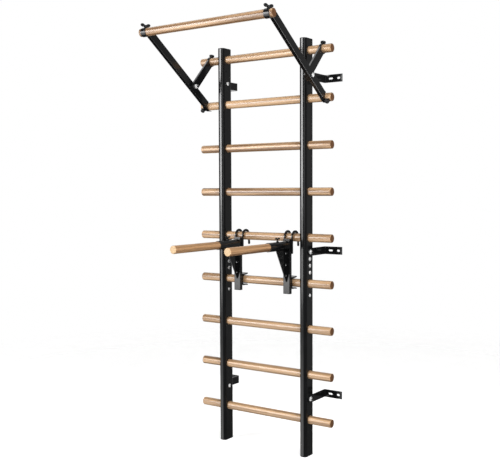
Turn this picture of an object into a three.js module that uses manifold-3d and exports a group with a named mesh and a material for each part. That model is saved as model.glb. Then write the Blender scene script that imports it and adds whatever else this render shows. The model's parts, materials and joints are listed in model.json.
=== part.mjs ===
// Swedish wall bars: two flat-oval steel uprights with through-going wooden
// rungs, fixed to the wall by slotted straps, with a hook-on pull-up frame on
// the two highest rungs and two hook-on dip brackets lower down.
//
// Frame: millimetres, +Z up, X to the right, Y = 0 is the face of the wall and
// the front of the bars looks towards -Y.  The origin lies on the wall, at
// floor level, midway between the uprights.
import * as THREE from 'three';
import { mergeVertices } from 'three/addons/utils/BufferGeometryUtils.js';
import Module from 'manifold-3d';

// ---------------------------------------------------------------- dimensions
const GAP = 0.3;               // clearance between pieces that lie on each other
const AXIS_Y = -150;           // plane of all rung axes

const UPRIGHT_H = 2100;        // overall height with the caps
const UPRIGHT_X = 252;         // centre of each upright from the middle
const UPRIGHT_D = 80;          // section, front to back
const UPRIGHT_W = 40;          // section, across
const UPRIGHT_R = 16;          // corner radius of the section
const WALL = 2;                // wall of all tubes
const SEAM_Z = 987;            // joint between lower and upper length
const CAP_T = 3;               // cap flange
const CAP_PLUG = 15;           // cap plug depth
const SLEEVE_HALF = 80;        // half length of the splice sleeve

const RUNG_R = 21;
const RUNG_L = 800;
const RUNG_CHAMFER = 3;
const RUNG_SIDES = 16;
const RUNG_Z = [2040, 1803, 1572, 1341, 1110, 879, 648, 417, 186];

const STRAP_Z = { top: 1915, middle: 1039, bottom: 293 };
const STRAP_H = 40;            // strap width
const STRAP_T = 4;             // strap thickness
const STRAP_OUT = 376;         // outer end of the wall leg
const STRAP_BEND = 4;          // inner bend radius
const SLOT_A = { x: 310, l: 24, w: 9 };
const SLOT_B = { x: 355, l: 17, w: 11 };
const SPLICE_Z = [1004, 970, 935];
const ACCESSORY_Z = 820;
const VENT_Y = -163;           // small hole on the inner face of each upright
const VENT_Z = 1979;
const M8_R = 4;
const HOLE8_R = 4.3;
const SCREW_HOLE_R = 4.7;      // holes in which a stud turns
const WASHER_T = 1.6;

const ARM_X = 361;             // middle of each arm
const ARM_W0 = -13;            // upper and lower face of the arm tube, across the
const ARM_W1 = 27;             // arm, from the axis of rung 2
const ARM_T = 20;              // arm tube, width
const ARM_ELEV = THREE.MathUtils.degToRad(34.83);
const ARM_END = 575;           // closed end of the arm tube, from rung 2
const COLLAR_X = 359;          // middle of each collar
const COLLAR_U = 593.7;        // collar axis along the arm, from rung 2
const COLLAR_W = 24.9;         // collar axis across the arm
const COLLAR_R = 22.6;
const COLLAR_L = 30;
const BORE_R = 20.3;           // collar and socket bore
const BAR_R = 20;
const BAR_L = 776;
const PIVOT_U = 166.2;         // pivot along the arm, from rung 2
const PIVOT_W = 3.6;           // and across it
const PIVOT_R = 5;
const PIVOT_HOLE_R = 5.5;
const HOOK_IN = 22.6;          // hook under rung 2
const HOOK_OUT = 25.6;
const HOOK_LIP = 14;           // level lip behind the rung axis
const KNOB_OUT = 22;           // clamping knob of the hook, outwards from the arm
const KNOB_FORE = 45;          // its axis, degrees in front of straight down

const STRUT_X = 343.7;
const STRUT_T = 14;            // strut tube, width
const STRUT_T0 = -20;          // back and front face of the strut tube, from the
const STRUT_T1 = 24;           // line between its pivot and rung 1
const RING_IN = 22.3;          // ring around rung 1
const RING_OUT = 26;

// place of each dip unit along its rung, and how far its handle is drawn out
const DIP_UNITS = { right: { x: 164, out: 0 }, left: { x: -141, out: 19 } };
const DIP_RUNG = 4;            // hangs on the fifth rung
const DIP_REST = 5;            // leans on the sixth rung
const POST = { w: 40, y0: -199, y1: -179, z0: 828, z1: 1104 };
const PLATE_T = 4.5;
const SOCKET = { r: 23, z: 1070, y0: -370 };
const HANDLE = { r: 20, y0: -700, y1: -205 };
const DIP_SCREW_Y = -281;
const GUSSET_T = 4.5;

// ----------------------------------------------------------------- materials
const paint = () => new THREE.MeshStandardMaterial({ color: 0x17181b, roughness: 0.45, metalness: 0.2 });
const plastic = () => new THREE.MeshStandardMaterial({ color: 0x101113, roughness: 0.55, metalness: 0.0 });
const zinc = () => new THREE.MeshStandardMaterial({ color: 0xd0d3d6, roughness: 0.3, metalness: 0.9 });
const wood = () => new THREE.MeshStandardMaterial({ color: 0xd0a070, roughness: 0.55, metalness: 0.0 });

// ------------------------------------------------------------ solid helpers
const wasm = await Module();
wasm.setup();

// a closed geometry as a solid, with its faces turned outwards
function solid(geometry) {
  const flat = geometry.index ? geometry.toNonIndexed() : geometry;
  const bare = new THREE.BufferGeometry();
  bare.setAttribute('position', flat.getAttribute('position').clone());
  const merged = mergeVertices(bare, 1e-4);
  const pos = merged.getAttribute('position').array;
  const idx = merged.index.array;
  const tris = [];
  let volume = 0;
  for (let i = 0; i < idx.length; i += 3) {
    const [a, b, c] = [idx[i], idx[i + 1], idx[i + 2]];
    if (a === b || b === c || a === c) continue;
    tris.push(a, b, c);
    const p = (k, j) => pos[3 * k + j];
    volume += p(a, 0) * (p(b, 1) * p(c, 2) - p(b, 2) * p(c, 1))
            + p(a, 1) * (p(b, 2) * p(c, 0) - p(b, 0) * p(c, 2))
            + p(a, 2) * (p(b, 0) * p(c, 1) - p(b, 1) * p(c, 0));
  }
  if (volume < 0) for (let i = 0; i < tris.length; i += 3) [tris[i], tris[i + 1]] = [tris[i + 1], tris[i]];
  return new wasm.Manifold(new wasm.Mesh({
    numProp: 3, vertProperties: new Float32Array(pos), triVerts: new Uint32Array(tris),
  }));
}

function toGeometry(body) {
  const m = body.getMesh();
  const g = new THREE.BufferGeometry();
  g.setAttribute('position', new THREE.BufferAttribute(new Float32Array(m.vertProperties), 3));
  g.setIndex(new THREE.BufferAttribute(new Uint32Array(m.triVerts), 1));
  g.computeVertexNormals();
  return g;
}

const join = (...s) => s.reduce((a, b) => a.add(b));
const cut = (a, ...s) => s.reduce((x, b) => x.subtract(b), a);

const AXIS_X = new THREE.Matrix4().set(0, 0, 1, 0, 1, 0, 0, 0, 0, 1, 0, 0, 0, 0, 0, 1);
const AXIS_Ym = new THREE.Matrix4().set(1, 0, 0, 0, 0, 0, -1, 0, 0, 1, 0, 0, 0, 0, 0, 1);

function extrude(outer, depth, holes = []) {
  const shape = new THREE.Shape(outer.map(([a, b]) => new THREE.Vector2(a, b)));
  for (const h of holes) shape.holes.push(new THREE.Path(h.map(([a, b]) => new THREE.Vector2(a, b))));
  return new THREE.ExtrudeGeometry(shape, { depth, bevelEnabled: false, steps: 1 });
}
// outlines in (y, z), (x, z) and (x, y)
const prismX = (o, x0, x1, holes) => solid(extrude(o, x1 - x0, holes).applyMatrix4(AXIS_X).translate(x0, 0, 0));
const prismY = (o, y0, y1, holes) => solid(extrude(o, y1 - y0, holes).applyMatrix4(AXIS_Ym).translate(0, y1, 0));
const prismZ = (o, z0, z1, holes) => solid(extrude(o, z1 - z0, holes).translate(0, 0, z0));

function circle(cx, cy, r, n, phase = 0) {
  const pts = [];
  for (let i = 0; i < n; i++) {
    const a = phase + (2 * Math.PI * i) / n;
    pts.push([cx + r * Math.cos(a), cy + r * Math.sin(a)]);
  }
  return pts;
}
function arc(cx, cy, r, a0, a1, n) {
  const pts = [];
  for (let i = 0; i <= n; i++) {
    const a = THREE.MathUtils.degToRad(a0 + ((a1 - a0) * i) / n);
    pts.push([cx + r * Math.cos(a), cy + r * Math.sin(a)]);
  }
  return pts;
}
function rect(x0, y0, x1, y1) {
  return [[x0, y0], [x1, y0], [x1, y1], [x0, y1]];
}
function roundRect(cx, cy, w, h, r, n) {
  const [a, b] = [w / 2 - r, h / 2 - r];
  return [
    ...arc(cx + a, cy + b, r, 0, 90, n), ...arc(cx - a, cy + b, r, 90, 180, n),
    ...arc(cx - a, cy - b, r, 180, 270, n), ...arc(cx + a, cy - b, r, 270, 360, n),
  ];
}
function slot(cx, cy, l, w, n) {
  const s = (l - w) / 2;
  return [...arc(cx + s, cy, w / 2, -90, 90, n), ...arc(cx - s, cy, w / 2, 90, 270, n)];
}
// a turned piece about Z from an outline of (radius, height) pairs
function turned(profile, sides) {
  const pts = profile.map(([r, h]) => new THREE.Vector2(r, h));
  return new THREE.LatheGeometry(pts, sides).rotateX(Math.PI / 2);
}

const part = new THREE.Group();
function add(name, geometry, material, parent = part) {
  const mesh = new THREE.Mesh(geometry, material);
  mesh.name = name;
  parent.add(mesh);
  return mesh;
}
// the same piece on the other side of the middle plane
function mirrored(geometry) {
  return toGeometry(solid(geometry.clone().applyMatrix4(new THREE.Matrix4().makeScale(-1, 1, 1))));
}
function pair(stem, geometry, material) {
  add(`right_${stem}`, geometry, material());
  add(`left_${stem}`, mirrored(geometry), material());
}

// ------------------------------------------------------------------ uprights
const tubeOuter = (x) => roundRect(x, AXIS_Y, UPRIGHT_W, UPRIGHT_D, UPRIGHT_R, 3);
const tubeInset = (x, d) => roundRect(x, AXIS_Y, UPRIGHT_W - 2 * d, UPRIGHT_D - 2 * d, UPRIGHT_R - d, 3);
const throughX = (r, z, n, y = AXIS_Y) => prismX(circle(y, z, r, n), UPRIGHT_X - 40, UPRIGHT_X + 40);

function upright(z0, z1, rungs, bolts) {
  let body = prismZ(tubeOuter(UPRIGHT_X), z0, z1, [tubeInset(UPRIGHT_X, WALL)]);
  for (const z of rungs) body = cut(body, throughX(RUNG_R + GAP, z, RUNG_SIDES));
  for (const z of bolts) body = cut(body, throughX(HOLE8_R, z, 8));
  if (z1 > VENT_Z) body = cut(body, prismX(circle(VENT_Y, VENT_Z, 3.5, 8), UPRIGHT_X - 40, UPRIGHT_X - 8));
  return toGeometry(body);
}
pair('upright_upper', upright(SEAM_Z + GAP / 2, UPRIGHT_H - CAP_T - GAP, RUNG_Z.slice(0, 5),
  [STRAP_Z.top, STRAP_Z.middle, SPLICE_Z[0]]), paint);
pair('upright_lower', upright(CAP_T + GAP, SEAM_Z - GAP / 2, RUNG_Z.slice(5),
  [STRAP_Z.bottom, SPLICE_Z[1], SPLICE_Z[2], ACCESSORY_Z]), paint);

let sleeve = prismZ(tubeInset(UPRIGHT_X, WALL + GAP), SEAM_Z - SLEEVE_HALF, SEAM_Z + SLEEVE_HALF,
  [tubeInset(UPRIGHT_X, 2 * WALL + GAP)]);
for (const z of [STRAP_Z.middle, ...SPLICE_Z]) sleeve = cut(sleeve, throughX(HOLE8_R, z, 8));
pair('splice_sleeve', toGeometry(sleeve), paint);

const plugOutline = tubeInset(UPRIGHT_X, WALL + GAP);
pair('top_cap', toGeometry(join(
  prismZ(tubeOuter(UPRIGHT_X), UPRIGHT_H - CAP_T, UPRIGHT_H),
  prismZ(plugOutline, UPRIGHT_H - CAP_T - CAP_PLUG, UPRIGHT_H - CAP_T / 2))), plastic);
pair('bottom_cap', toGeometry(join(
  prismZ(tubeOuter(UPRIGHT_X), 0, CAP_T),
  prismZ(plugOutline, CAP_T / 2, CAP_T + CAP_PLUG))), plastic);

// --------------------------------------------------------------------- rungs
function dowel(r, l, chamfer, sides) {
  const h = l / 2;
  const g = turned([[0, -h], [r - chamfer, -h], [r, -h + chamfer], [r, h - chamfer], [r - chamfer, h], [0, h]], sides);
  return toGeometry(solid(g));
}
// the turned outline starts on -Y; a quarter turn brings the axis to X and keeps
// a corner of the polygon on the horizontal plane, as in the bored holes
const rungGeometry = dowel(RUNG_R, RUNG_L, RUNG_CHAMFER, RUNG_SIDES).rotateY(Math.PI / 2);
RUNG_Z.forEach((z, i) => {
  add(`rung_${i + 1}`, rungGeometry, wood()).position.set(0, AXIS_Y, z);
});

// --------------------------------------------------------------- wall straps
const FACE_X = UPRIGHT_X + UPRIGHT_W / 2;       // outer face of the right upright
const legX0 = FACE_X + GAP;
const legX1 = legX0 + STRAP_T;
function strap(z) {
  const h = STRAP_H / 2;
  const leg = prismX([...arc(AXIS_Y, z, h, 90, 270, 7), [-9, z - h], [-9, z + h]], legX0, legX1);
  const bx = legX1 + STRAP_BEND;
  const by = -STRAP_T - STRAP_BEND;
  const back = prismZ([
    [legX0, -12], [legX1, -12],
    ...arc(bx, by, STRAP_BEND, 180, 90, 3), [STRAP_OUT, -STRAP_T], [STRAP_OUT, 0],
    ...arc(bx, by, STRAP_BEND + STRAP_T, 90, 180, 3),
  ], z - h, z + h);
  return toGeometry(cut(join(leg, back),
    prismX(circle(AXIS_Y, z, HOLE8_R, 8), legX0 - 2, legX1 + 2),
    prismY(slot(SLOT_A.x, z, SLOT_A.l, SLOT_A.w, 4), -STRAP_T - 2, 2),
    prismY(slot(SLOT_B.x, z, SLOT_B.l, SLOT_B.w, 4), -STRAP_T - 2, 2)));
}
for (const key of Object.keys(STRAP_Z)) pair(`wall_strap_${key}`, strap(STRAP_Z[key]), paint);

// --------------------------------------------------------------------- bolts
const hex = (y, z, flats) => circle(y, z, flats / Math.sqrt(3), 6, Math.PI / 6);
// bolt along X: `dir` is +1 when the head is on the low-X side; a low round head
// with a hexagon socket on a washer, and a nut on a washer at the other end
function boltX(y, z, r, flats, xHead, xNut, xEnd, dir, headWasher, nutWasher, nutH) {
  const span = (a, b) => [Math.min(a, b), Math.max(a, b)];
  const hr = r * 1.75;
  const hh = r * 1.1;
  const dish = turned([[0, -0.4], [hr, -0.4], [hr, hh * 0.4], [hr * 0.72, hh * 0.92], [0, hh]], 10);
  const head = solid(dish.rotateY(-dir * Math.PI / 2).translate(xHead - dir * WASHER_T, y, z));
  const seat = prismX(circle(y, z, headWasher, 12), ...span(xHead, xHead - dir * WASHER_T));
  const shank = prismX(circle(y, z, r, 8), ...span(xHead - dir * 1, xEnd));
  const washer = prismX(circle(y, z, nutWasher, 12), ...span(xNut, xNut + dir * WASHER_T));
  const nut = prismX(hex(y, z, flats), ...span(xNut + dir * (WASHER_T - 0.2), xNut + dir * (WASHER_T + nutH)));
  const socket = prismX(hex(y, z, r * 1.25), ...span(xHead - dir * (WASHER_T + hh + 1), xHead - dir * (WASHER_T + hh * 0.35)));
  return toGeometry(cut(join(head, seat, shank, washer, nut), socket));
}
const INNER_X = UPRIGHT_X - UPRIGHT_W / 2;
for (const key of Object.keys(STRAP_Z)) {
  pair(`strap_bolt_${key}`, boltX(AXIS_Y, STRAP_Z[key], M8_R, 13,
    INNER_X - GAP, legX1 + GAP, legX1 + 15, 1, 10, 12, 6.5), zinc);
}
SPLICE_Z.forEach((z, i) => {
  pair(`splice_bolt_${i + 1}`, boltX(AXIS_Y, z, M8_R, 13,
    FACE_X + GAP, INNER_X - GAP, INNER_X - 14, -1, 9.5, 8.8, 6.5), zinc);
});
// low domed heads on both sides close the accessory holes
const dome = (x, dir) => {
  const g = turned([[0, -1], [8, -1], [8, 1.2], [5.6, 3.4], [0, 4.4]], 10);
  return solid(g.rotateY(dir * Math.PI / 2).translate(x, AXIS_Y, ACCESSORY_Z));
};
pair('accessory_bolt', toGeometry(join(
  dome(FACE_X + GAP + 1, 1), dome(INNER_X - GAP - 1, -1),
  prismX(circle(AXIS_Y, ACCESSORY_Z, M8_R, 8), INNER_X - 1, FACE_X + 1))), zinc);

// ------------------------------------------------------------- pull-up frame
// arm frame: origin on the axis of rung 2, local Y along the arm, local Z across
// it (downwards and forwards)
const armFrame = new THREE.Group();
armFrame.position.set(0, AXIS_Y, RUNG_Z[1]);
armFrame.rotation.x = Math.PI - ARM_ELEV;
part.add(armFrame);
const [ce, se] = [Math.cos(ARM_ELEV), Math.sin(ARM_ELEV)];
const toArm = (y, z) => [-ce * y + se * z, -se * y - ce * z];     // from world offsets
const toWorld = (u, w) => [AXIS_Y - ce * u - se * w, RUNG_Z[1] + se * u - ce * w];

const BOTTOM = 180 - (90 - THREE.MathUtils.radToDeg(ARM_ELEV));    // straight down, from local Y
const lip = [toArm(HOOK_LIP, -HOOK_IN), toArm(HOOK_LIP, -HOOK_OUT)];
const hookOutline = [
  ...arc(0, 0, HOOK_IN, 0, BOTTOM, 8), lip[0], lip[1],
  ...arc(0, 0, HOOK_OUT, BOTTOM, 82, 4),
  [16, ARM_W1], [31, ARM_W1], [31, ARM_W0], [HOOK_IN, ARM_W0],
];
// a tab stands out sideways from the hook and takes the clamping knob
const tabOutline = [
  ...arc(0, 0, HOOK_IN, BOTTOM - KNOB_FORE - 24, BOTTOM - KNOB_FORE + 24, 4),
  ...arc(0, 0, HOOK_OUT, BOTTOM - KNOB_FORE + 24, BOTTOM - KNOB_FORE - 24, 4),
];
const hookDir = (r) => toArm(-r * Math.sin(THREE.MathUtils.degToRad(KNOB_FORE)), -r * Math.cos(THREE.MathUtils.degToRad(KNOB_FORE)));
// round hole through a wall, along a direction in the (y, z) plane of a frame
function drill(a, b, r, n, x = 0) {
  const from = new THREE.Vector3(x, a[0], a[1]);
  const to = new THREE.Vector3(x, b[0], b[1]);
  const len = from.distanceTo(to);
  const g = extrude(circle(0, 0, r, n), len);
  const q = new THREE.Quaternion().setFromUnitVectors(new THREE.Vector3(0, 0, 1), to.clone().sub(from).normalize());
  return solid(g.applyQuaternion(q).translate(from.x, from.y, from.z));
}
const half = ARM_T / 2;
const collarUp = (r) => [COLLAR_U + se * r, COLLAR_W - ce * r];
// the collars stand a little further in than the arms, so each side has its own
function armBody(dx) {
  const out = -Math.sign(dx);
  return cut(
    join(
      cut(prismX(rect(29, ARM_W0, ARM_END, ARM_W1), -half, half),
        prismX(rect(31, ARM_W0 + WALL, ARM_END - 4, ARM_W1 - WALL), -half + WALL, half - WALL)),
      prismX(hookOutline, -half, half),
      prismX(tabOutline, Math.min(out * (half - 1), out * (KNOB_OUT + 9)), Math.max(out * (half - 1), out * (KNOB_OUT + 9))),
      prismX(circle(COLLAR_U, COLLAR_W, COLLAR_R, 20), dx - COLLAR_L / 2, dx + COLLAR_L / 2),
      drill(collarUp(21.4), collarUp(24), 8.5, 10, dx)),
    prismX(circle(COLLAR_U, COLLAR_W, BORE_R, 20), -30, 30),
    prismX(circle(PIVOT_U, PIVOT_W, PIVOT_HOLE_R, 12), -30, 30),
    drill(hookDir(15), hookDir(40), SCREW_HOLE_R, 8, out * KNOB_OUT),
    drill(collarUp(15), collarUp(40), SCREW_HOLE_R, 8, dx));
}
add('right_arm', toGeometry(armBody(COLLAR_X - ARM_X)), paint(), armFrame).position.x = ARM_X;
add('left_arm', toGeometry(armBody(ARM_X - COLLAR_X)), paint(), armFrame).position.x = -ARM_X;

const barGeometry = dowel(BAR_R, BAR_L, 3, 20).rotateY(Math.PI / 2);
add('pullup_bar', barGeometry, wood(), armFrame).position.set(0, COLLAR_U, COLLAR_W);

// strut frame: origin on the pivot, local Y towards rung 1, local Z to the front
const [pivotY, pivotZ] = toWorld(PIVOT_U, PIVOT_W);
const strutAngle = Math.atan2(RUNG_Z[0] - pivotZ, AXIS_Y - pivotY);
const STRUT_L = Math.hypot(RUNG_Z[0] - pivotZ, AXIS_Y - pivotY);
const strutFrame = new THREE.Group();
strutFrame.position.set(0, pivotY, pivotZ);
strutFrame.rotation.x = strutAngle;
part.add(strutFrame);
// the lower end is cut parallel to the arm
const [ns, nt] = [Math.cos(strutAngle) * se + Math.sin(strutAngle) * ce, -Math.sin(strutAngle) * se + Math.cos(strutAngle) * ce];
const mitre = (v, t) => [(v - nt * t) / ns, t];
const MITRE = PIVOT_W - ARM_W1 + 1.4;
const sh = STRUT_T / 2;
const strutUp = (r) => {
  const a = THREE.MathUtils.degToRad(90 - 15) - strutAngle;
  return [STRUT_L + r * Math.cos(a), r * Math.sin(a)];
};
const strutBody = cut(
  join(
    cut(prismX([mitre(MITRE, STRUT_T0), [STRUT_L - 12, STRUT_T0], [STRUT_L - 12, STRUT_T1], mitre(MITRE, STRUT_T1)], -sh, sh),
      prismX([mitre(MITRE + 3, STRUT_T0 + WALL), [STRUT_L - 30, STRUT_T0 + WALL], [STRUT_L - 30, STRUT_T1 - WALL], mitre(MITRE + 3, STRUT_T1 - WALL)],
        -sh + WALL, sh - WALL)),
    prismX(circle(STRUT_L, 0, RING_OUT, 20), -sh, sh),
    drill(strutUp(23), strutUp(27), 7, 10)),
  prismX(circle(STRUT_L, 0, RING_IN, 20), -30, 30),
  prismX(circle(0, 0, PIVOT_HOLE_R, 12), -30, 30),
  drill(strutUp(12), strutUp(40), SCREW_HOLE_R, 8));
const strutGeometry = toGeometry(strutBody);
add('right_strut', strutGeometry, paint(), strutFrame).position.x = STRUT_X;
add('left_strut', strutGeometry, paint(), strutFrame).position.x = -STRUT_X;

pair('pivot_bolt', boltX(pivotY, pivotZ, PIVOT_R, 17,
  ARM_X + half + GAP, STRUT_X - sh - GAP, STRUT_X - sh - 14.5, -1, 10.5, 11, 8), zinc);

// ---------------------------------------------------------- screws and knobs
// local Z along the screw, height 0 at the tip of the stud, `reach` at the head
function wingScrew(reach, span, tall, thick, hubR) {
  const lobeL = span * 0.21;
  const lobeH = tall * 0.44;
  const lobeA = span / 2 - lobeL;
  const mid = reach + tall * 0.5;
  const ellipse = (sx) => {
    const pts = [];
    for (let i = 0; i < 10; i++) {
      const a = (2 * Math.PI * i) / 10;
      const p = [lobeL * Math.cos(a), lobeH * Math.sin(a)];
      const t = THREE.MathUtils.degToRad(12);
      pts.push([sx * (lobeA + p[0] * Math.cos(t) - p[1] * Math.sin(t)), mid + p[0] * Math.sin(t) + p[1] * Math.cos(t)]);
    }
    return pts;
  };
  return toGeometry(join(
    prismZ(circle(0, 0, M8_R, 8), 0, reach + 2),
    prismZ(circle(0, 0, hubR, 8), reach, reach + tall * 0.66),
    prismY(ellipse(1), -thick / 2, thick / 2),
    prismY(ellipse(-1), -thick / 2, thick / 2),
    prismY([[-lobeA, mid - tall * 0.2], [lobeA, mid - tall * 0.2], [lobeA, mid + tall * 0.12], [-lobeA, mid + tall * 0.12]],
      -thick / 2, thick / 2)));
}
function placeScrew(name, geometry, tip, dir, spin) {
  const m = add(name, geometry, plastic());
  const q = new THREE.Quaternion().setFromUnitVectors(new THREE.Vector3(0, 0, 1), dir.clone().normalize());
  m.quaternion.copy(q).multiply(new THREE.Quaternion().setFromAxisAngle(new THREE.Vector3(0, 0, 1), THREE.MathUtils.degToRad(spin)));
  m.position.copy(tip);
}
const along = (c, dir, r) => c.clone().addScaledVector(dir, r);
// round knob on a stud, with a neck that widens to the cap
function knobScrew(reach, neck, capR, capH) {
  const n = reach + neck;
  return toGeometry(solid(turned([
    [0, 0], [M8_R, 0], [M8_R, reach], [6, reach], [6.4, n], [capR * 0.7, n + 0.4], [capR, n + capH * 0.25],
    [capR, n + capH * 0.7], [capR * 0.72, n + capH * 0.95], [0, n + capH]], 12)));
}
const bigScrew = wingScrew(3.2, 54, 18, 8, 8);
const strutKnob = knobScrew(5.4, 1.2, 13.5, 10.5);
const hookKnob = knobScrew(4.6, 1.2, 11.5, 11);
const dipScrew = wingScrew(12.5, 32, 11, 6, 5.2);

const [collarY, collarZ] = toWorld(COLLAR_U, COLLAR_W);
const up = new THREE.Vector3(0, 0, 1);
const deg = THREE.MathUtils.degToRad;
const strutDir = new THREE.Vector3(0, Math.sin(deg(15)), Math.cos(deg(15)));
const hookDown = new THREE.Vector3(0, -Math.sin(deg(KNOB_FORE)), -Math.cos(deg(KNOB_FORE)));
for (const [side, s] of [['right', 1], ['left', -1]]) {
  placeScrew(`${side}_bar_wing_screw`, bigScrew,
    along(new THREE.Vector3(s * COLLAR_X, collarY, collarZ), up, BAR_R + 1), up, 74);
  placeScrew(`${side}_strut_knob`, strutKnob,
    along(new THREE.Vector3(s * STRUT_X, AXIS_Y, RUNG_Z[0]), strutDir, RUNG_R + 1), strutDir, 0);
  placeScrew(`${side}_arm_knob`, hookKnob,
    along(new THREE.Vector3(s * (ARM_X + KNOB_OUT), AXIS_Y, RUNG_Z[1]), hookDown, RUNG_R + 1), hookDown, 0);
  placeScrew(`${side}_dip_wing_screw`, dipScrew,
    new THREE.Vector3(DIP_UNITS[side].x, DIP_SCREW_Y, SOCKET.z + HANDLE.r + 1), up, 80);
}

// ----------------------------------------------------------------- dip units
// welded bracket about its own middle plane x = 0
const hang = RUNG_Z[DIP_RUNG];
const rest = RUNG_Z[DIP_REST];
const pw = POST.w / 2;
const plateOutline = [
  [-186, 1030], [-184, 1028], [-174.5, 1028], [-172.7, 1030],
  ...arc(AXIS_Y, hang, 22.7, 180, 0, 9),
  [-127.5, 1079], ...arc(-119.8, 1071, 7.7, 180, 360, 5), [-114.2, 1079],
  ...arc(AXIS_Y, hang, 36, 0, 180, 10),
];
const finger = (s) => [
  [-179.5, rest + s * 17], [-173.3, rest + s * 17], [-171.5, rest + s * 23], [-150, rest + s * 23.4], [-129.5, rest + s * 27.5],
  [-130.5, rest + s * 33.6], [-151, rest + s * 30.6], [-176, rest + s * 31.5], [-179.5, rest + s * 29],
];
let bracket = join(
  cut(prismZ(rect(-pw, POST.y0, pw, POST.y1), POST.z0, POST.z1),
    prismZ(rect(-pw + WALL, POST.y0 + WALL, pw - WALL, POST.y1 - WALL), POST.z0 - 2, POST.z1 - 3)),
  prismX(plateOutline, pw - 0.2, pw + PLATE_T),
  prismX(plateOutline, -pw - PLATE_T, -pw + 0.2),
  prismY(circle(0, SOCKET.z, SOCKET.r, 20), SOCKET.y0, POST.y0 + 0.5),
  prismX([[-198.5, 1049], [-292, 1049], [-292, 1044], [-203, 886], [-198.5, 886]], -GUSSET_T / 2, GUSSET_T / 2),
  prismX(rect(-179.5, rest - 18, -173.3, rest + 18), -pw, pw),
  prismX(finger(1), -pw, pw),
  prismX(finger(-1), -pw, pw),
  prismZ(circle(0, DIP_SCREW_Y, 7.5, 10), SOCKET.z + SOCKET.r - 2, SOCKET.z + SOCKET.r + 3));
bracket = cut(bracket,
  prismY(circle(0, SOCKET.z, BORE_R, 20), SOCKET.y0 - 5, POST.y0 - 0.5),
  prismZ(circle(0, DIP_SCREW_Y, SCREW_HOLE_R, 8), SOCKET.z + 5, SOCKET.z + 40),
  prismX(circle(-207, 1031, 6, 8), -5, 5),
  prismX(circle(-207, 973, 6, 8), -5, 5),
  prismX(circle(-206, 919, 5, 8), -5, 5));
const bracketGeometry = toGeometry(bracket);
const postCap = toGeometry(join(
  prismZ(rect(-pw, POST.y0, pw, POST.y1), POST.z0 - GAP - 3, POST.z0 - GAP),
  prismZ(rect(-pw + WALL + GAP, POST.y0 + WALL + GAP, pw - WALL - GAP, POST.y1 - WALL - GAP), POST.z0 - 2, POST.z0 + 12)));
const handleL = HANDLE.y1 - HANDLE.y0;
const handleGeometry = dowel(HANDLE.r, handleL, 3, 20).rotateX(Math.PI / 2);
for (const [side, { x, out }] of Object.entries(DIP_UNITS)) {
  const unit = new THREE.Group();
  unit.position.x = x;
  part.add(unit);
  add(`${side}_dip_bracket`, bracketGeometry, paint(), unit);
  add(`${side}_dip_post_cap`, postCap, plastic(), unit);
  add(`${side}_dip_handle`, handleGeometry, wood(), unit).position.set(0, (HANDLE.y0 + HANDLE.y1) / 2 - out, SOCKET.z);
}

export default part;
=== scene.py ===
import bpy, bmesh, json, math
from mathutils import Matrix, Quaternion, Vector


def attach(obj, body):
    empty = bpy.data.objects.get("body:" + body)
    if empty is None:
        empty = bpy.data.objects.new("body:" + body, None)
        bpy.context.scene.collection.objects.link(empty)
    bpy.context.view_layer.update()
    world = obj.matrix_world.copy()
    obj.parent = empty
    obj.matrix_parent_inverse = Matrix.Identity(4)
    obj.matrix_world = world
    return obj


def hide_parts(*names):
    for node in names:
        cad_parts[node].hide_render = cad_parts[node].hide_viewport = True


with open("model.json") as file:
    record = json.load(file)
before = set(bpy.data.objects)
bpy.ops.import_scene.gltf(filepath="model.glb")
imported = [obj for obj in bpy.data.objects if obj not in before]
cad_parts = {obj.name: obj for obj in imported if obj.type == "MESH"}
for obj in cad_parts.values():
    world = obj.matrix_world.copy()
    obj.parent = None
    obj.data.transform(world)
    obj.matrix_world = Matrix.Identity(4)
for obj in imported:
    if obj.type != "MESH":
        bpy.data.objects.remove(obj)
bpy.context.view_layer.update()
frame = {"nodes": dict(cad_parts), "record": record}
scene = bpy.context.scene
MM = 0.001

# ------------------------------------------------------------------ dimensions, mm
AXIS_Y = -150.0
UPRIGHT_X, UPRIGHT_W, UPRIGHT_D, UPRIGHT_R = 252.0, 40.0, 80.0, 16.0
UPRIGHT_H, SEAM_Z, CAP_T, WALL, GAP = 2100.0, 987.0, 3.0, 2.0, 0.3
RUNG_R, RUNG_L = 21.0, 800.0
RUNG_Z = [2040, 1803, 1572, 1341, 1110, 879, 648, 417, 186]
STRAP_Z = {"top": 1915.0, "middle": 1039.0, "bottom": 293.0}
SPLICE_Z = [1004.0, 970.0, 935.0]
ACCESSORY_Z = 820.0
VENT_Y, VENT_Z = -163.0, 1979.0
WASHER_T = 1.6
ARM_X, ARM_W0, ARM_W1, ARM_T = 361.0, -13.0, 27.0, 20.0
ELEV = math.radians(34.83)
CE, SE = math.cos(ELEV), math.sin(ELEV)
COLLAR_X, COLLAR_U, COLLAR_W = 359.0, 593.7, 24.9
PIVOT_U, PIVOT_W = 166.2, 3.6
STRUT_X, STRUT_T, STRUT_T0, STRUT_T1 = 343.7, 14.0, -20.0, 24.0
KNOB_OUT, KNOB_FORE = 22.0, 45.0
# place of each dip unit along its rung, and how far its handle is drawn out
DIP_UNITS = {"right": (164.0, 0.0), "left": (-141.0, 19.0)}


# ------------------------------------------------------------------ mesh tools
def axis_point(axis, a, b, c):
    """(a, b) lie in the outline's plane, c along the axis"""
    return {"X": (c, a, b), "Y": (a, c, b), "Z": (a, b, c)}[axis]


def circle(cx, cy, r, n, phase=0.0):
    return [(cx + r * math.cos(phase + 2 * math.pi * i / n), cy + r * math.sin(phase + 2 * math.pi * i / n)) for i in range(n)]


def arc(cx, cy, r, a0, a1, n):
    return [(cx + r * math.cos(math.radians(a0 + (a1 - a0) * i / n)), cy + r * math.sin(math.radians(a0 + (a1 - a0) * i / n))) for i in range(n + 1)]


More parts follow.
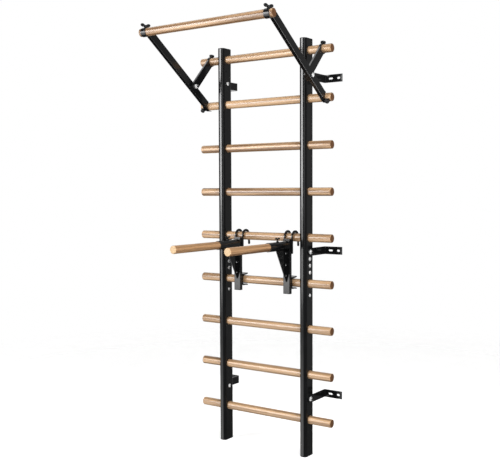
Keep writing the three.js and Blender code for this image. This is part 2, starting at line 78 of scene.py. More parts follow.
def rect(x0, y0, x1, y1):
    return [(x0, y0), (x1, y0), (x1, y1), (x0, y1)]


def round_rect(cx, cy, w, h, r, n):
    a, b = w / 2 - r, h / 2 - r
    return (arc(cx + a, cy + b, r, 0, 90, n) + arc(cx - a, cy + b, r, 90, 180, n)
            + arc(cx - a, cy - b, r, 180, 270, n) + arc(cx + a, cy - b, r, 270, 360, n))


def slot_outline(cx, cy, l, w, n):
    s = (l - w) / 2
    return arc(cx + s, cy, w / 2, -90, 90, n) + arc(cx - s, cy, w / 2, 90, 270, n)


def soften(bm, width, segments=2, angle=38.0):
    lim = math.radians(angle)
    edges = [e for e in bm.edges if len(e.link_faces) == 2 and e.calc_face_angle(0.0) > lim]
    if edges and width > 0:
        bmesh.ops.bevel(bm, geom=edges, offset=width, segments=segments, profile=0.5, affect="EDGES", clamp_overlap=True)
    bmesh.ops.recalc_face_normals(bm, faces=bm.faces)
    return bm


def prism(outline, c0, c1, axis, bevel=0.0, segments=2):
    pts = []
    for p in outline:
        if not pts or math.hypot(p[0] - pts[-1][0], p[1] - pts[-1][1]) > 1e-4:
            pts.append(p)
    if math.hypot(pts[0][0] - pts[-1][0], pts[0][1] - pts[-1][1]) < 1e-4:
        pts.pop()
    bm = bmesh.new()
    lo = [bm.verts.new(axis_point(axis, p[0], p[1], c0)) for p in pts]
    hi = [bm.verts.new(axis_point(axis, p[0], p[1], c1)) for p in pts]
    n = len(pts)
    bm.faces.new(lo)
    bm.faces.new(hi)
    for i in range(n):
        bm.faces.new((lo[i], lo[(i + 1) % n], hi[(i + 1) % n], hi[i]))
    bmesh.ops.recalc_face_normals(bm, faces=bm.faces)
    if bevel:
        soften(bm, bevel, segments)
    return bm


def lathe(profile, n, axis="Z", at=(0, 0, 0)):
    """profile of (radius, height); closed on the axis, or on itself when no radius is 0"""
    bm = bmesh.new()
    rings = []
    for r, h in profile:
        if r < 1e-6:
            rings.append([bm.verts.new(Vector(axis_point(axis, 0, 0, h)) + Vector(at))])
        else:
            rings.append([bm.verts.new(Vector(axis_point(axis, x, y, h)) + Vector(at)) for x, y in circle(0, 0, r, n)])
    closed = profile[0][0] > 1e-6
    count = len(rings) if closed else len(rings) - 1
    for k in range(count):
        a, b = rings[k], rings[(k + 1) % len(rings)]
        for i in range(n):
            j = (i + 1) % n
            if len(a) == 1 and len(b) == 1:
                continue
            if len(a) == 1:
                bm.faces.new((a[0], b[i], b[j]))
            elif len(b) == 1:
                bm.faces.new((a[i], b[0], a[j]))
            else:
                bm.faces.new((a[i], b[i], b[j], a[j]))
    bmesh.ops.recalc_face_normals(bm, faces=bm.faces)
    return bm


def move(bm, matrix):
    bm.transform(matrix)
    if matrix.determinant() < 0:
        bmesh.ops.reverse_faces(bm, faces=bm.faces)
    return bm


def mirrored(bm):
    return move(bm.copy(), Matrix.Scale(-1, 4, (1, 0, 0)))


def as_object(bm, name):
    me = bpy.data.meshes.new(name)
    bm.to_mesh(me)
    bm.free()
    ob = bpy.data.objects.new(name, me)
    scene.collection.objects.link(ob)
    return ob


def drop(ob):
    me = ob.data
    bpy.data.objects.remove(ob)
    bpy.data.meshes.remove(me)


def evaluated(ob):
    dg = bpy.context.evaluated_depsgraph_get()
    me = bpy.data.meshes.new_from_object(ob.evaluated_get(dg))
    bm = bmesh.new()
    bm.from_mesh(me)
    bpy.data.meshes.remove(me)
    return bm


def boolean(a, b, operation):
    oa, ob = as_object(a, "tmp_a"), as_object(b, "tmp_b")
    m = oa.modifiers.new("cut", "BOOLEAN")
    m.operation, m.solver, m.object = operation, "EXACT", ob
    bm = evaluated(oa)
    drop(oa)
    drop(ob)
    return bm


def join(first, *rest):
    for b in rest:
        first = boolean(first, b, "UNION")
    return first


def cut(first, *rest):
    for b in rest:
        first = boolean(first, b, "DIFFERENCE")
    return first


def gather(*bms):
    """several shells in one mesh, with no boolean"""
    out = bmesh.new()
    for b in bms:
        me = bpy.data.meshes.new("tmp")
        b.to_mesh(me)
        b.free()
        out.from_mesh(me)
        bpy.data.meshes.remove(me)
    return out


def bead(points, r, ripple=0.18, pitch=2.6, sides=8):
    """a weld bead along a path: a tube with the scales of the weld pool"""
    pts = [Vector(p) for p in points]
    fine = []
    for a, b in zip(pts, pts[1:]):
        n = max(1, int((b - a).length / 0.8))
        fine += [a.lerp(b, i / n) for i in range(n)]
    fine.append(pts[-1])
    bm = bmesh.new()
    rings = []
    s = 0.0
    for i, p in enumerate(fine):
        t = (fine[min(i + 1, len(fine) - 1)] - fine[max(i - 1, 0)]).normalized()
        if i:
            s += (p - fine[i - 1]).length
        side = t.orthogonal().normalized()
        if rings and abs(side.dot(last)) < 0.999:
            side = (last - t * last.dot(t)).normalized()
        last = side
        up = t.cross(side)
        end = min(i, len(fine) - 1 - i)
        k = r * (1 - ripple + ripple * abs(math.cos(math.pi * s / pitch))) * min(1.0, 0.45 + 0.3 * end)
        rings.append([bm.verts.new(p + (side * math.cos(2 * math.pi * j / sides) + up * math.sin(2 * math.pi * j / sides)) * k) for j in range(sides)])
    for a, b in zip(rings, rings[1:]):
        for j in range(sides):
            bm.faces.new((a[j], a[(j + 1) % sides], b[(j + 1) % sides], b[j]))
    bm.faces.new(rings[0])
    bm.faces.new(rings[-1])
    bmesh.ops.recalc_face_normals(bm, faces=bm.faces)
    return bm


# ------------------------------------------------------------------ materials
def material(name):
    m = bpy.data.materials.new(name)
    m.use_nodes = True
    nt = m.node_tree
    nt.nodes.clear()
    out = nt.nodes.new("ShaderNodeOutputMaterial")
    bsdf = nt.nodes.new("ShaderNodeBsdfPrincipled")
    nt.links.new(bsdf.outputs["BSDF"], out.inputs["Surface"])
    return m, nt, bsdf


def node(nt, kind, **values):
    n = nt.nodes.new(kind)
    for k, v in values.items():
        if k in n.inputs:
            n.inputs[k].default_value = v
        else:
            setattr(n, k, v)
    return n


def coords(nt, scale):
    tc = node(nt, "ShaderNodeTexCoord")
    mp = node(nt, "ShaderNodeMapping")
    mp.inputs["Scale"].default_value = scale
    nt.links.new(tc.outputs["Object"], mp.inputs["Vector"])
    return mp.outputs["Vector"]


def noise(nt, scale, detail=4.0, rough=0.55, distortion=0.0):
    n = node(nt, "ShaderNodeTexNoise")
    n.inputs["Scale"].default_value = 1.0
    n.inputs["Detail"].default_value = detail
    n.inputs["Roughness"].default_value = rough
    n.inputs["Distortion"].default_value = distortion
    nt.links.new(coords(nt, scale), n.inputs["Vector"])
    return n.outputs["Fac"]


def ramp(nt, fac, stops):
    r = node(nt, "ShaderNodeValToRGB")
    el = r.color_ramp.elements
    while len(el) < len(stops):
        el.new(0.5)
    for e, (p, c) in zip(el, stops):
        e.position = p
        e.color = (c, c, c, 1) if isinstance(c, (int, float)) else (*c, 1)
    nt.links.new(fac, r.inputs["Fac"])
    return r.outputs["Color"]


def mix(nt, a, b, fac, mode="MIX"):
    m = node(nt, "ShaderNodeMix", data_type="RGBA", blend_type=mode)
    if isinstance(fac, (int, float)):
        m.inputs[0].default_value = fac
    else:
        nt.links.new(fac, m.inputs[0])
    for i, v in ((6, a), (7, b)):
        if isinstance(v, tuple):
            m.inputs[i].default_value = (*v, 1)
        else:
            nt.links.new(v, m.inputs[i])
    return m.outputs[2]


def node_scale(nt, value, factor):
    m = node(nt, "ShaderNodeMath", operation="MULTIPLY")
    nt.links.new(value, m.inputs[0])
    m.inputs[1].default_value = factor
    return m.outputs[0]


def bump(nt, bsdf, height, strength, distance):
    b = node(nt, "ShaderNodeBump")
    b.inputs["Strength"].default_value = strength
    b.inputs["Distance"].default_value = distance
    nt.links.new(height, b.inputs["Height"])
    nt.links.new(b.outputs["Normal"], bsdf.inputs["Normal"])


def black_paint():
    m, nt, b = material("black_powder_coat")
    cloud = noise(nt, (9, 9, 9), 3)
    speck = noise(nt, (700, 700, 700), 2)
    col = mix(nt, (0.0030, 0.0031, 0.0034), (0.0052, 0.0053, 0.0058), ramp(nt, cloud, [(0.3, 0.0), (0.7, 1.0)]))
    col = mix(nt, col, (0.0085, 0.0087, 0.0094), ramp(nt, speck, [(0.60, 0.0), (0.78, 0.5)]))
    nt.links.new(col, b.inputs["Base Color"])
    nt.links.new(ramp(nt, cloud, [(0.25, 0.13), (0.75, 0.17)]), b.inputs["Roughness"])
    b.inputs["Specular IOR Level"].default_value = 0.5
    bump(nt, b, noise(nt, (420, 420, 420), 2, 0.5), 0.03, 0.0004)
    return m


def black_plastic():
    m, nt, b = material("black_moulded_plastic")
    cloud = noise(nt, (40, 40, 40), 3)
    col = mix(nt, (0.007, 0.0072, 0.008), (0.012, 0.0125, 0.014), ramp(nt, cloud, [(0.3, 0.0), (0.7, 1.0)]))
    nt.links.new(col, b.inputs["Base Color"])
    nt.links.new(ramp(nt, cloud, [(0.25, 0.33), (0.75, 0.45)]), b.inputs["Roughness"])
    bump(nt, b, noise(nt, (1400, 1400, 1400), 2, 0.5), 0.14, 0.0003)
    return m


def zinc():
    m, nt, b = material("bright_zinc")
    cloud = noise(nt, (160, 160, 160), 4)
    brush = noise(nt, (2500, 300, 300), 2)
    col = mix(nt, (0.80, 0.81, 0.82), (0.95, 0.95, 0.94), ramp(nt, cloud, [(0.3, 0.0), (0.7, 1.0)]))
    nt.links.new(col, b.inputs["Base Color"])
    b.inputs["Metallic"].default_value = 0.4
    nt.links.new(ramp(nt, brush, [(0.3, 0.24), (0.7, 0.40)]), b.inputs["Roughness"])
    bump(nt, b, cloud, 0.06, 0.0003)
    return m


def recess():
    """painted shade: the near-black floor of a key socket, also laid on the threaded bolt tips"""
    m, nt, b = material("socket_and_thread_painted_shade")
    # painted shade in the hollows, mottled by noise between two near-blacks
    painted_shade_mottle = noise(nt, (400, 400, 400), 2)
    nt.links.new(mix(nt, (0.012, 0.012, 0.013), (0.05, 0.05, 0.052), painted_shade_mottle), b.inputs["Base Color"])
    b.inputs["Metallic"].default_value = 0.3
    b.inputs["Roughness"].default_value = 0.6
    return m


def wood(axis, end=None):
    """light hardwood with its fibre along one axis; end holds the colours given for the sawn ends, which the callers
    darken as painted shade on the rungs and bar and lighten as painted light on the dip handles
    """
    m, nt, b = material(f"wood_{'end' if end else 'side'}_{axis.lower()}")

    def sc(along, across):
        return (along, across, across) if axis == "X" else (across, along, across)

    def tone_of(r, g, b_):
        return (r, g, b_) if axis == "X" else (r, g * 0.90, b_ * 0.80)

    if not end:
        tone = noise(nt, sc(0.8, 20), 3, 0.5, 0.3)
        streak = noise(nt, sc(1.3, 78), 3, 0.5, 0.4)
        vein = noise(nt, sc(1.1, 190), 3, 0.5, 0.8)
        fibre = noise(nt, sc(3, 420), 3, 0.6)
        fleck = noise(nt, sc(25, 500), 2, 0.5)
        col = mix(nt, tone_of(0.186, 0.101, 0.050), tone_of(0.540, 0.344, 0.190), ramp(nt, streak, [(0.40, 0.0), (0.58, 1.0)]))
        col = mix(nt, col, tone_of(0.540, 0.342, 0.187), ramp(nt, tone, [(0.46, 0.0), (0.72, 0.70)]))
        col = mix(nt, col, tone_of(0.150, 0.075, 0.034), ramp(nt, vein, [(0.30, 0.80), (0.43, 0.0)]))
        col = mix(nt, col, tone_of(0.235, 0.112, 0.045), ramp(nt, fleck, [(0.66, 0.0), (0.76, 0.14)]))
        col = mix(nt, col, tone_of(0.640, 0.440, 0.250), ramp(nt, fibre, [(0.57, 0.0), (0.80, 0.30)]))
        nt.links.new(col, b.inputs["Base Color"])
        nt.links.new(ramp(nt, streak, [(0.3, 0.27), (0.7, 0.32)]), b.inputs["Roughness"])
        b.inputs["Specular IOR Level"].default_value = 0.72
        bump(nt, b, streak, 0.05, 0.0002)
    else:
        pores = noise(nt, (900, 900, 900), 2)
        ring = node(nt, "ShaderNodeTexWave", wave_type="RINGS", rings_direction=axis)
        ring.inputs["Scale"].default_value = 1.0
        ring.inputs["Distortion"].default_value = 3.5
        ring.inputs["Detail"].default_value = 2.0
        ring.inputs["Detail Scale"].default_value = 0.8
        nt.links.new(coords(nt, (130, 130, 130)), ring.inputs["Vector"])
        col = mix(nt, end[0], end[1], ring.outputs["Fac"])
        col = mix(nt, col, end[2], ramp(nt, pores, [(0.56, 0.0), (0.72, 0.6)]))
        nt.links.new(col, b.inputs["Base Color"])
        b.inputs["Roughness"].default_value = 0.45
        b.inputs["Specular IOR Level"].default_value = 0.25
        bump(nt, b, pores, 0.12, 0.0005)
    return m


PAINT, PLASTIC, ZINC, RECESS = black_paint(), black_plastic(), zinc(), recess()
WOOD_X, WOOD_Y = wood("X"), wood("Y")
# painted shade: the sawn ends of the rungs and the bar are dark brown, partly the darker tone of end grain and mostly
# the shade on ends that face away from the lamps
WOOD_X_END_PAINTED_SHADE = wood("X", ((0.105, 0.046, 0.019), (0.165, 0.076, 0.032), (0.06, 0.026, 0.011)))
# painted light: the sawn ends of the dip handles are pale cream as if lit from the front
WOOD_Y_END_PAINTED_LIGHT = wood("Y", ((0.50, 0.335, 0.185), (0.64, 0.47, 0.28), (0.33, 0.19, 0.09)))
BODY_OF = {n: b for b, ns in frame["record"]["behaviour"]["bodies"].items() for n in ns}


def finish_piece(bm, cad_node, mats, slot, smooth=34.0, weighted=True):
    """the fine piece that stands for a CAD node and rides on its body"""
    bm.transform(Matrix.Scale(MM, 4))
    bmesh.ops.remove_doubles(bm, verts=bm.verts, dist=2e-7)
    ob = as_object(bm, cad_node + "_fine")
    for mt in mats:
        ob.data.materials.append(mt)
    ob.data.polygons.foreach_set("use_smooth", [True] * len(ob.data.polygons))
    ob.data.set_sharp_from_angle(angle=math.radians(smooth))
    if weighted:
        w = ob.modifiers.new("normals", "WEIGHTED_NORMAL")
        w.keep_sharp = True
        w.weight = 80
    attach(ob, BODY_OF[cad_node])
    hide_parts(cad_node)
    return ob


def both_sides(bm, stem, mats, slot, **kw):
    other = mirrored(bm)
    finish_piece(bm, "right_" + stem, mats, slot, **kw)
    finish_piece(other, "left_" + stem, mats, slot, **kw)


# ------------------------------------------------------------------ uprights
def section(inset, n=10):
    return round_rect(UPRIGHT_X, AXIS_Y, UPRIGHT_W - 2 * inset, UPRIGHT_D - 2 * inset, UPRIGHT_R - inset, n)


def tube_length(z0, z1, rungs, bolts):
    outer = prism(section(0), z0, z1, "Z", 0.9, 2)
    hollow = prism(section(WALL), z0 - 5, z1 + 5, "Z")
    holes = [prism(circle(AXIS_Y, z, RUNG_R + GAP, 48), UPRIGHT_X - 40, UPRIGHT_X + 40, "X") for z in rungs]
    holes += [prism(circle(AXIS_Y, z, 4.3, 20), UPRIGHT_X - 40, UPRIGHT_X + 40, "X") for z in bolts]
    if z1 > VENT_Z:
        holes.append(prism(circle(VENT_Y, VENT_Z, 3.5, 24), UPRIGHT_X - 40, UPRIGHT_X - 8, "X"))
    return cut(outer, hollow, gather(*holes))


both_sides(tube_length(SEAM_Z + GAP / 2, UPRIGHT_H - CAP_T - GAP, RUNG_Z[:5], [STRAP_Z["top"], STRAP_Z["middle"], SPLICE_Z[0]]),
           "upright_upper", [PAINT], "black_paint")
both_sides(tube_length(CAP_T + GAP, SEAM_Z - GAP / 2, RUNG_Z[5:], [STRAP_Z["bottom"], SPLICE_Z[1], SPLICE_Z[2], ACCESSORY_Z]),
           "upright_lower", [PAINT], "black_paint")


def end_cap(top):
    z0, z1 = (UPRIGHT_H - CAP_T, UPRIGHT_H) if top else (0.0, CAP_T)
    lid = prism(section(0.15), z0, z1, "Z", 1.2, 3)
    plug = prism(section(WALL + GAP), z0 - 15 if top else z1 - 0.5, z0 + 0.5 if top else z1 + 15, "Z", 0.6, 2)
    return join(lid, plug)


both_sides(end_cap(True), "top_cap", [PLASTIC], "black_plastic")
both_sides(end_cap(False), "bottom_cap", [PLASTIC], "black_plastic")


# ------------------------------------------------------------------ wooden dowels
def dowel(r, l, n=72):
    h, c = l / 2, 1.7
    half = [(0, h), (r - c - 0.5, h), (r - c + 0.2, h - 0.15), (r - 0.45, h - c + 0.55), (r - 0.08, h - c - 0.3), (r, h - c - 1.6)]
    steps = [(r, h - c - 1.6 - (l - 2 * (c + 1.6)) * i / 16) for i in range(1, 16)]
    other = [(p[0], -p[1]) for p in reversed(half)]
    return lathe(half + steps + other, n, "Z")


def wooden(bm, node_name, axis, side, end):
    bm.normal_update()
    for f in bm.faces:
        a = abs(f.normal.x if axis == "X" else f.normal.y)
        f.material_index = 1 if a > 0.9 else 0
    return finish_piece(bm, node_name, [side, end], "wood", smooth=50, weighted=False)


for i, z in enumerate(RUNG_Z):
    turn = Matrix.Rotation(math.radians(37 * i), 4, "X")
    wooden(move(dowel(RUNG_R, RUNG_L), Matrix.Translation((0, AXIS_Y, z)) @ turn @ Matrix.Rotation(math.pi / 2, 4, "Y")),
           f"rung_{i + 1}", "X", WOOD_X, WOOD_X_END_PAINTED_SHADE)


# ------------------------------------------------------------------ wall straps
def wall_strap(z):
    x0 = UPRIGHT_X + UPRIGHT_W / 2 + GAP
    x1 = x0 + 4
    bx, by = x1 + 4, -8
    ell = ([(x0, -171), (x1, -171)] + arc(bx, by, 4, 180, 90, 8) + [(376, -4), (376, 0)] + arc(bx, by, 8, 90, 180, 8))
    bm = prism(ell, z - 20, z + 20, "Z")
    trim = prism(arc(AXIS_Y, z, 20, 90, 270, 24) + [(6, z - 20), (6, z + 20)], x0 - 20, 400, "X")
    bm = boolean(bm, trim, "INTERSECT")
    bm = cut(bm, gather(
        prism(circle(AXIS_Y, z, 4.3, 20), x0 - 3, x1 + 3, "X"),
        prism(slot_outline(310, z, 24, 9, 10), -8, 4, "Y"),
        prism(slot_outline(355, z, 17, 11, 10), -8, 4, "Y")))
    return soften(bm, 0.5, 2)


for key, z in STRAP_Z.items():
    both_sides(wall_strap(z), "wall_strap_" + key, [PAINT], "black_paint")


# ------------------------------------------------------------------ bolts
def hex_block(flats, h):
    """hexagon along Z from 0 to h with both rims turned off"""
    r = flats / math.sqrt(3)
    body = prism(circle(0, 0, r, 6, math.pi / 6), 0, h, "Z")
    tool = lathe([(0, 0), (flats * 0.485, 0), (r + 0.2, r * 0.13 + 0.1), (r + 0.2, h - r * 0.13 - 0.1), (flats * 0.485, h), (0, h)], 40)
    return boolean(body, tool, "INTERSECT")


def threaded(r, z0, z1, pitch=1.25, n=20):
    prof = [(0, z0), (r - 0.5, z0)]
    z = z0
    while z + pitch < z1 - 0.6:
        prof += [(r - 0.55, z + 0.12), (r, z + pitch * 0.5), (r - 0.55, z + pitch - 0.12)]
        z += pitch
    prof += [(r, z1 - 1.0), (r - 1.0, z1), (0, z1)]
    return lathe(prof, n)


def washer(r, outer, z0, z1):
    e = 0.35
    return lathe([(r, z0), (outer - e, z0), (outer, z0 + e), (outer, z1 - e), (outer - e, z1), (r, z1)], 40)


def bolt(y, z, r, flats, x_head, x_nut, x_end, way, head_washer, nut_washer, nut_h):
    """along X; way is +1 with the head on the low side"""
    length = abs(x_end - x_head)
    nut0 = abs(x_nut - x_head)
    hr, hh, t = r * 1.75, r * 1.1, WASHER_T
    round_head = [(hr * math.cos(math.radians(k)) ** 0.75, -t - hh * 0.30 - hh * 0.70 * math.sin(math.radians(k))) for k in range(15, 80, 13)]
    head = lathe([(0, -t + 0.4), (hr, -t + 0.4), (hr, -t - hh * 0.30)] + round_head + [(hr * 0.45, -t - hh), (0, -t - hh)], 40)
    key = r * 1.25 / math.sqrt(3)
    head = cut(head, prism(circle(0, 0, key, 6, math.pi / 6), -t - hh - 1, -t - hh * 0.35, "Z"))
    # the socket's inner faces take the second material: painted shade in the hollow
    for f in head.faces:
        c = f.calc_center_median()
        f.material_index = 1 if math.hypot(c.x, c.y) < key * 0.98 and c.z > -t - hh + 0.05 else 0
    nut = move(hex_block(flats, nut_h), Matrix.Translation((0, 0, nut0 + t)))
    shank = lathe([(0, -0.5), (r, -0.5), (r, nut0 + t + nut_h), (0, nut0 + t + nut_h)], 20)
    tip = threaded(r, nut0 + t + nut_h - 0.5, length)
    # the threaded tip takes the second material too: painted shade, not zinc
    for f in tip.faces:
        f.material_index = 1
    bm = gather(head, washer(r, head_washer, -t, 0), shank, washer(r, nut_washer, nut0, nut0 + t), nut, tip)
    turn = Matrix.Rotation(math.pi / 2 * way, 4, "Y")
    return move(bm, Matrix.Translation((x_head, y, z)) @ turn)


FACE_X, INNER_X = UPRIGHT_X + UPRIGHT_W / 2, UPRIGHT_X - UPRIGHT_W / 2
LEG_OUT = FACE_X + GAP + 4
for key, z in STRAP_Z.items():
    both_sides(bolt(AXIS_Y, z, 4, 13, INNER_X - GAP, LEG_OUT + GAP, LEG_OUT + 15, 1, 10, 12, 6.5), "strap_bolt_" + key, [ZINC, RECESS], "zinc_steel")
for i, z in enumerate(SPLICE_Z):
    both_sides(bolt(AXIS_Y, z, 4, 13, FACE_X + GAP, INNER_X - GAP, INNER_X - 14, -1, 9.5, 8.8, 6.5), f"splice_bolt_{i + 1}", [ZINC, RECESS], "zinc_steel")


def dome(way):
    prof = [(0, 0), (8, 0), (8, 1.0)] + [(8 * math.cos(math.radians(a)), 1.0 + 4.2 * math.sin(math.radians(a))) for a in range(12, 90, 12)] + [(0, 5.2)]
    x = FACE_X + GAP if way > 0 else INNER_X - GAP
    return move(lathe(prof, 36), Matrix.Translation((x, AXIS_Y, ACCESSORY_Z)) @ Matrix.Rotation(math.pi / 2 * way, 4, "Y"))


both_sides(gather(dome(1), dome(-1), prism(circle(AXIS_Y, ACCESSORY_Z, 4, 16), INNER_X - 1, FACE_X + 1, "X")),
           "accessory_bolt", [ZINC], "zinc_steel")

# ------------------------------------------------------------------ pull-up frame
ARM_FRAME = Matrix.Translation((0, AXIS_Y, RUNG_Z[1])) @ Matrix.Rotation(math.pi - ELEV, 4, "X")


def to_arm(y, z):
    return (-CE * y + SE * z, -SE * y - CE * z)


def to_world(u, w):
    return (AXIS_Y - CE * u - SE * w, RUNG_Z[1] + SE * u - CE * w)


def rod(a, b, r, n, bevel=0.0, x=0.0):
    """cylinder between two points of a frame's (y, z) plane"""
    va, vb = Vector((x, *a)), Vector((x, *b))
    q = Vector((0, 0, 1)).rotation_difference((vb - va).normalized())
    bm = prism(circle(0, 0, r, n), 0, (vb - va).length, "Z", bevel, 2)
    return move(bm, Matrix.Translation(va) @ q.to_matrix().to_4x4())


def pullup_arm(dx):
    """dx is the place of the collar's middle from the arm's middle"""
    half, mid = ARM_T / 2, (ARM_W0 + ARM_W1) / 2
    tube = prism(round_rect(0, mid, ARM_T, ARM_W1 - ARM_W0, 2.6, 5), 29, 575, "Y", 0.8, 2)
    bottom = 90 + math.degrees(ELEV)
    hook = (arc(0, 0, 22.6, 0, bottom, 26) + [to_arm(14, -22.6), to_arm(14, -25.6)] + arc(0, 0, 25.6, bottom, 82, 12)
            + [(10, 26.6), (16, ARM_W1), (33, ARM_W1), (33, ARM_W0), (22.6, ARM_W0)])
    hook_b = prism(hook, -half, half, "X", 0.7, 2)
    out, mid_a = (1 if dx < 0 else -1), bottom - KNOB_FORE
    tab = prism(arc(0, 0, 22.6, mid_a - 24, mid_a + 24, 12) + arc(0, 0, 25.6, mid_a + 24, mid_a - 24, 12),
                min(out * (half - 1), out * (KNOB_OUT + 9)), max(out * (half - 1), out * (KNOB_OUT + 9)), "X", 0.5, 2)
    collar = lathe([(0, dx - 15), (21.9, dx - 15), (22.6, dx - 14.3), (22.6, dx + 14.3), (21.9, dx + 15), (0, dx + 15)], 64, "X", (0, COLLAR_U, COLLAR_W))
    up = lambda r: (COLLAR_U + SE * r, COLLAR_W - CE * r)
    seat = rod(up(20.8), up(24), 8.5, 32, 0.6, dx)
    fore = math.radians(KNOB_FORE)
    down = lambda r: to_arm(-r * math.sin(fore), -r * math.cos(fore))
    bm = join(tube, hook_b, tab, collar, seat)
    bm = cut(bm, rod(up(15), up(40), 4.7, 20, 0, dx), prism(circle(COLLAR_U, COLLAR_W, 20.3, 64), -30, 30, "X"),
             prism(circle(PIVOT_U, PIVOT_W, 5.5, 24), -30, 30, "X"),
             rod(down(15), down(40), 4.7, 20, 0, out * KNOB_OUT))
    on_collar = lambda a: (COLLAR_U + 22.9 * math.cos(math.radians(a)), COLLAR_W + 22.9 * math.sin(math.radians(a)))
    beads = []
    for x in (-half - 0.2, half + 0.2):
        beads.append(bead([(x, *on_collar(a)) for a in range(176, 216, 3)], 1.5))
    for a in (175, 215):
        beads.append(bead([(x, *on_collar(a)) for x in (-half, -half / 2, 0, half / 2, half)], 1.5))
    for w in (ARM_W0 - 0.2, ARM_W1 + 0.2):
        beads.append(bead([(x, 32.6, w) for x in (-7, -3.5, 0, 3.5, 7)], 1.1))
    return gather(bm, *beads)


for side, s in (("right", 1), ("left", -1)):
    finish_piece(move(pullup_arm(s * (COLLAR_X - ARM_X)), Matrix.Translation((s * ARM_X, 0, 0)) @ ARM_FRAME), side + "_arm", [PAINT], "black_paint")

COLLAR_Y, COLLAR_Z = to_world(COLLAR_U, COLLAR_W)
wooden(move(dowel(20.0, 776.0), Matrix.Translation((0, COLLAR_Y, COLLAR_Z)) @ Matrix.Rotation(math.pi / 2, 4, "Y")), "pullup_bar", "X", WOOD_X, WOOD_X_END_PAINTED_SHADE)

PIVOT_Y, PIVOT_Z = to_world(PIVOT_U, PIVOT_W)
STRUT_ANGLE = math.atan2(RUNG_Z[0] - PIVOT_Z, AXIS_Y - PIVOT_Y)
STRUT_L = math.hypot(RUNG_Z[0] - PIVOT_Z, AXIS_Y - PIVOT_Y)
STRUT_FRAME = Matrix.Translation((0, PIVOT_Y, PIVOT_Z)) @ Matrix.Rotation(STRUT_ANGLE, 4, "X")


def strut():
    ns = math.cos(STRUT_ANGLE) * SE + math.sin(STRUT_ANGLE) * CE
    nt = -math.sin(STRUT_ANGLE) * SE + math.cos(STRUT_ANGLE) * CE
    half, mid, v = STRUT_T / 2, (STRUT_T0 + STRUT_T1) / 2, PIVOT_W - ARM_W1 + 1.4
    tube = prism(round_rect(0, mid, STRUT_T, STRUT_T1 - STRUT_T0, 2.4, 5), -60, STRUT_L - 12, "Y")
    cutter = prism([((v + nt * 60) / ns, -60), ((v - nt * 60) / ns, 60), (-160, 60), (-160, -60)], -40, 40, "X")
    tube = soften(cut(tube, cutter), 0.7, 2)
    ring = lathe([(0, -half), (25.3, -half), (26, -half + 0.7), (26, half - 0.7), (25.3, half), (0, half)], 64, "X", (0, STRUT_L, 0))
    a = math.radians(75) - STRUT_ANGLE
    up = lambda r: (STRUT_L + r * math.cos(a), r * math.sin(a))
    seat = rod(up(23.2), up(27), 7, 32, 0.6)
    bm = join(tube, ring, seat)
    return cut(bm, rod(up(12), up(40), 4.7, 20), prism(circle(STRUT_L, 0, 22.3, 64), -30, 30, "X"),
               prism(circle(0, 0, 5.5, 24), -30, 30, "X"))


for side, s in (("right", 1), ("left", -1)):
    finish_piece(move(strut(), Matrix.Translation((s * STRUT_X, 0, 0)) @ STRUT_FRAME), side + "_strut", [PAINT], "black_paint")
both_sides(bolt(PIVOT_Y, PIVOT_Z, 5, 17, ARM_X + ARM_T / 2 + GAP, STRUT_X - STRUT_T / 2 - GAP, STRUT_X - STRUT_T / 2 - 14.5, -1, 10.5, 11, 8), "pivot_bolt", [ZINC, RECESS], "zinc_steel")


# ------------------------------------------------------------------ screws and knobs
def wing_screw(reach, span, tall, thick, hub_r, node_name, tip, way, spin):
    lobe_l, lobe_h, t = span * 0.21, tall * 0.44, math.radians(12)
    lobe_a, cz = span / 2 - lobe_l, reach + tall * 0.5
    parts = []
    for sx in (1, -1):
        cx = sx * lobe_a
        out = []
        for i in range(40):
            a = 2 * math.pi * i / 40
            p = (lobe_l * math.cos(a), lobe_h * math.sin(a))
            out.append((cx + sx * (p[0] * math.cos(t) - p[1] * math.sin(t)), cz + p[0] * math.sin(t) + p[1] * math.cos(t)))
        paddle = prism(out, -thick / 2, thick / 2, "Y", thick * 0.24, 3)
        for sy in (1, -1):
            dish = lathe([(0, -1)] + [(math.sin(math.radians(k)), -math.cos(math.radians(k))) for k in range(15, 180, 15)] + [(0, 1)], 24)
            move(dish, Matrix.Translation((cx + sx * 1.0, sy * (thick / 2 + thick * 0.32), cz + 0.3)) @ Matrix.Rotation(-sx * t, 4, "Y")
                 @ Matrix.Diagonal((lobe_l * 0.66, thick * 0.58, lobe_h * 0.66, 1)))
            paddle = cut(paddle, dish)
        parts.append(paddle)
    web = prism([(-lobe_a, cz - tall * 0.22), (lobe_a, cz - tall * 0.22), (lobe_a, cz + tall * 0.14), (0, cz + tall * 0.08), (-lobe_a, cz + tall * 0.14)],
                -thick * 0.42, thick * 0.42, "Y")
    hub = lathe([(0, reach), (hub_r, reach), (hub_r, reach + 1.5), (hub_r * 0.86, reach + tall * 0.45), (hub_r * 0.6, reach + tall * 0.6), (0, reach + tall * 0.66)], 32)
    ob = as_object(join(hub, web, *parts), "tmp_wing")
    m = ob.modifiers.new("skin", "REMESH")
    m.mode, m.voxel_size, m.use_smooth_shade = "VOXEL", 0.5, True
    sm = ob.modifiers.new("smooth", "SMOOTH")
    sm.factor, sm.iterations = 0.5, 5
    head = evaluated(ob)
    drop(ob)
    stud = threaded(4.0, 0.0, reach + 1.5)
    for f in stud.faces:
        f.material_index = 1
    return set_screw(gather(head, stud), node_name, tip, way, spin)


def set_screw(bm, node_name, tip, way, spin):
    q = Vector((0, 0, 1)).rotation_difference(Vector(way).normalized()) @ Quaternion((0, 0, 1), math.radians(spin))
    move(bm, Matrix.Translation(tip) @ q.to_matrix().to_4x4())
    return finish_piece(bm, node_name, [PLASTIC, PAINT], "black_plastic", smooth=60, weighted=False)


